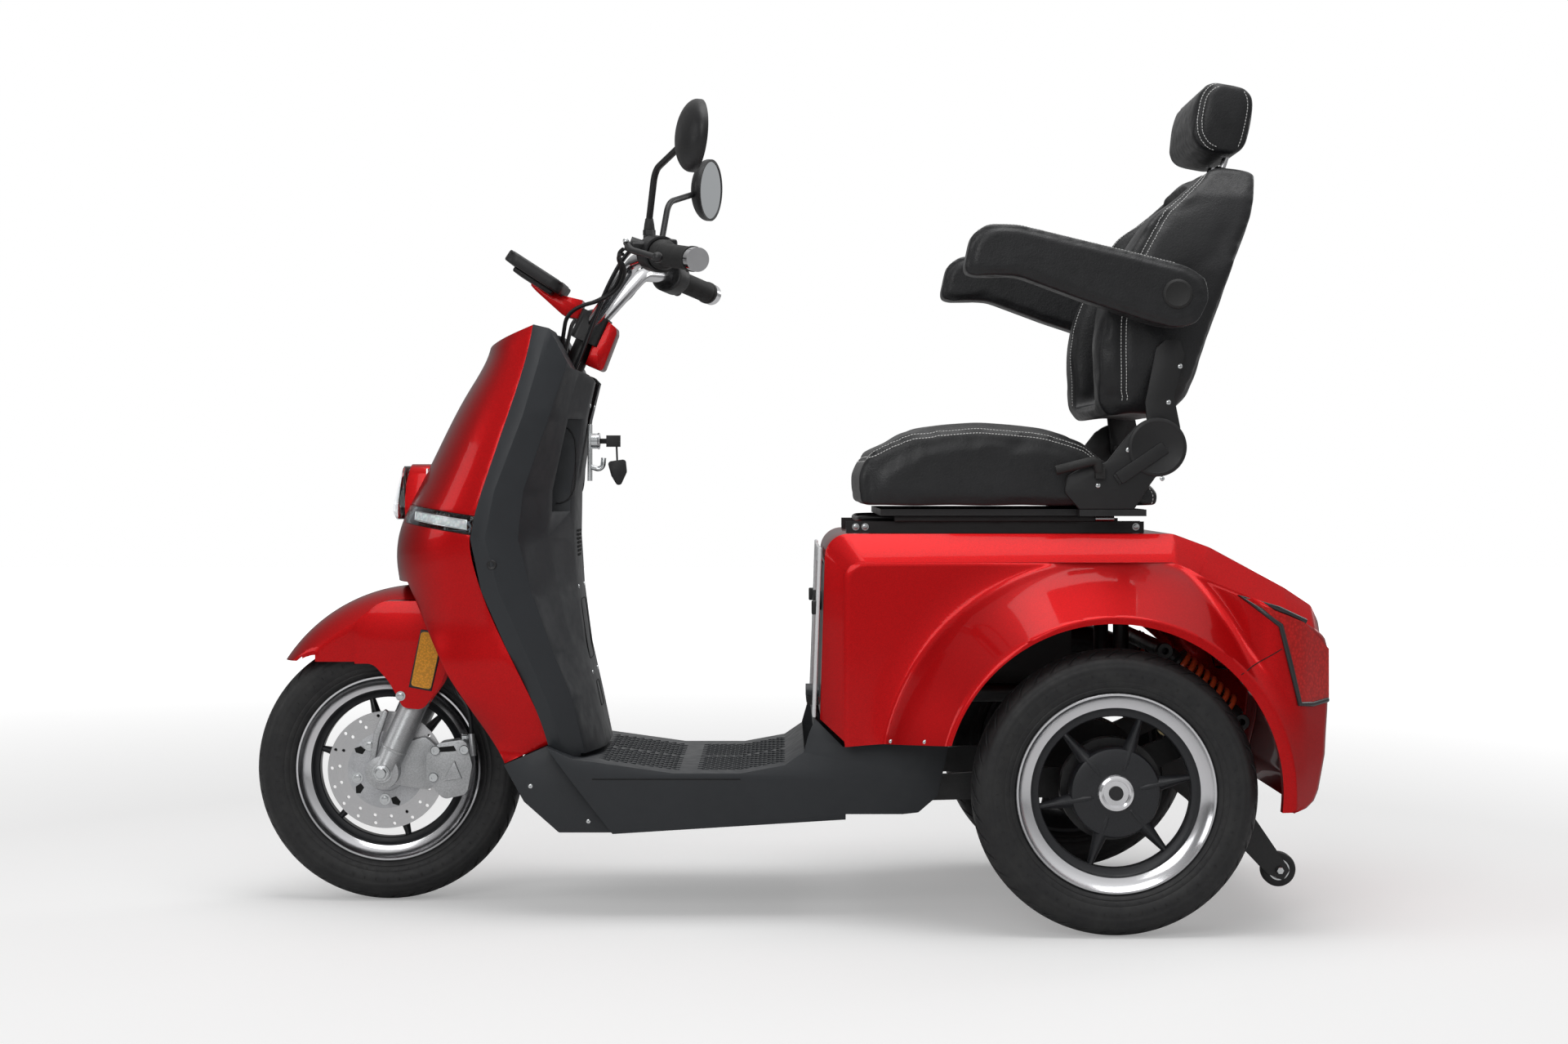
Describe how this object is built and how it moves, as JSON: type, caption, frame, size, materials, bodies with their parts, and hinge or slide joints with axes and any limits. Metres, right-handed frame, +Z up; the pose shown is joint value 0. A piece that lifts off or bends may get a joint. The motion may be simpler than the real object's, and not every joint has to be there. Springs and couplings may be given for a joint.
{
  "type": "electric three-wheel mobility scooter",
  "caption": "Three-wheel electric mobility scooter with a steered front wheel, flat floor, sliding padded seat with reclining back and headrest, flip-up armrests and a battery door.",
  "frame": {"origin": "centre of the bounding box on the ground plane", "axes": "+X to the rear, +Y to the rider's right, +Z up; the vehicle faces -X"},
  "size_m": [1.602, 0.824, 1.2564],
  "materials": {
    "red_shell": "metallic red, high gloss",
    "black_trim": "fine grained matte black",
    "grey_shell": "charcoal with a fine texture",
    "black_leather": "grained black with white stitching",
    "tyre": "black with moulded tread",
    "rim_chrome": "chrome ring and spokes over black",
    "disc_steel": "brushed, drilled",
    "frame_black": "satin black paint",
    "cast_silver": "cast, silver paint",
    "chrome_tube": "polished chrome",
    "clear_lens": "clear with fine ribs",
    "red_lens": "ribbed red lens, gloss",
    "amber_lens": "prismatic amber, gloss",
    "mirror": "mirror glass",
    "grip_rubber": "ribbed rubber",
    "hose_rubber": "smooth black rubber",
    "spring_red": "orange red coil over a black damper",
    "battery_case": "plain case",
    "caster_rubber": "hard rubber"
  },
  "bodies": {
    "chassis": {"main_frame": "frame_black", "head_tube": "frame_black", "rear_frame": "frame_black", "rear_axle": "frame_black", "shock_absorbers": "spring_red", "battery_pack": "battery_case", "front_cowl_upper": "red_shell", "front_cowl_lower": "red_shell", "light_strips": "clear_lens", "headlight_housing": "red_shell", "headlight_lens": "clear_lens", "leg_shield": "grey_shell", "lower_guard": "grey_shell", "floor_board": "grey_shell", "ignition_lock": "cast_silver", "ignition_key": "black_trim", "rear_body": "red_shell", "rear_fender_left": "red_shell", "rear_fender_right": "red_shell", "tail_lights": "red_lens", "door_hinge": "black_trim", "seat_rails": "frame_black", "anti_tip_arms": "frame_black"},
    "battery_door": {"battery_door": "grey_shell", "door_latch": "black_trim"},
    "seat": {"seat_frame": "frame_black", "recliner_plates": "black_trim", "recline_lever": "black_trim", "seat_cushion": "black_leather"},
    "backrest": {"backrest": "black_leather", "recliner_arms": "black_trim", "armrest_pivots": "frame_black"},
    "headrest": {"headrest": "black_leather", "headrest_posts": "chrome_tube"},
    "armrest_left": {"armrest_left": "black_leather"},
    "armrest_right": {"armrest_right": "black_leather"},
    "steering": {"fork": "frame_black", "fork_sliders": "cast_silver", "brake_caliper": "cast_silver", "brake_hose": "hose_rubber", "front_fender": "red_shell", "fender_reflectors": "amber_lens", "handlebar": "chrome_tube", "grips": "grip_rubber", "control_housings": "black_trim", "brake_levers": "cast_silver", "mirrors": "black_trim", "mirror_glass": "mirror", "display": "black_trim", "display_mount": "black_trim"},
    "front_wheel": {"front_tyre": "tyre", "front_rim": "rim_chrome", "brake_disc": "disc_steel"},
    "rear_wheel_left": {"rear_tyre_left": "tyre", "rear_rim_left": "rim_chrome"},
    "rear_wheel_right": {"rear_tyre_right": "tyre", "rear_rim_right": "rim_chrome"},
    "anti_tip_wheel_left": {"anti_tip_wheel_left": "caster_rubber"},
    "anti_tip_wheel_right": {"anti_tip_wheel_right": "caster_rubber"}
  },
  "joints": [
    {"name": "steering", "type": "hinge", "parent": "chassis", "child": "steering", "pos_m": [-0.596, 0, 0.205], "axis": [0.4163, 0, 0.9092], "range_deg": [-35, 35]},
    {"name": "front_wheel_spin", "type": "hinge", "parent": "steering", "child": "front_wheel", "pos_m": [-0.596, 0, 0.205], "axis": [0, 1, 0], "continuous": true},
    {"name": "rear_wheel_left_spin", "type": "hinge", "parent": "chassis", "child": "rear_wheel_left", "pos_m": [0.489, -0.322, 0.205], "axis": [0, 1, 0], "continuous": true},
    {"name": "rear_wheel_right_spin", "type": "hinge", "parent": "chassis", "child": "rear_wheel_right", "pos_m": [0.489, 0.322, 0.205], "axis": [0, 1, 0], "continuous": true},
    {"name": "anti_tip_left_spin", "type": "hinge", "parent": "chassis", "child": "anti_tip_wheel_left", "pos_m": [0.747, -0.2, 0.0756], "axis": [0, 1, 0], "continuous": true},
    {"name": "anti_tip_right_spin", "type": "hinge", "parent": "chassis", "child": "anti_tip_wheel_right", "pos_m": [0.747, 0.2, 0.0756], "axis": [0, 1, 0], "continuous": true},
    {"name": "seat_slide", "type": "slide", "parent": "chassis", "child": "seat", "axis": [1, 0, 0], "range_m": [-0.06, 0.06]},
    {"name": "backrest_recline", "type": "hinge", "parent": "seat", "child": "backrest", "pos_m": [0.563, 0, 0.699], "axis": [0, 1, 0], "range_deg": [-10, 25]},
    {"name": "headrest_height", "type": "slide", "parent": "backrest", "child": "headrest", "axis": [0.319, 0, 0.9478], "range_m": [0, 0.05]},
    {"name": "armrest_left_flip", "type": "hinge", "parent": "backrest", "child": "armrest_left", "pos_m": [0.583, -0.276, 0.919], "axis": [0, 1, 0], "range_deg": [0, 95]},
    {"name": "armrest_right_flip", "type": "hinge", "parent": "backrest", "child": "armrest_right", "pos_m": [0.583, 0.276, 0.919], "axis": [0, 1, 0], "range_deg": [0, 95]},
    {"name": "battery_door_hinge", "type": "hinge", "parent": "chassis", "child": "battery_door", "pos_m": [0.057, 0, 0.3125], "axis": [0, -1, 0], "range_deg": [0, 85]}
  ]
}
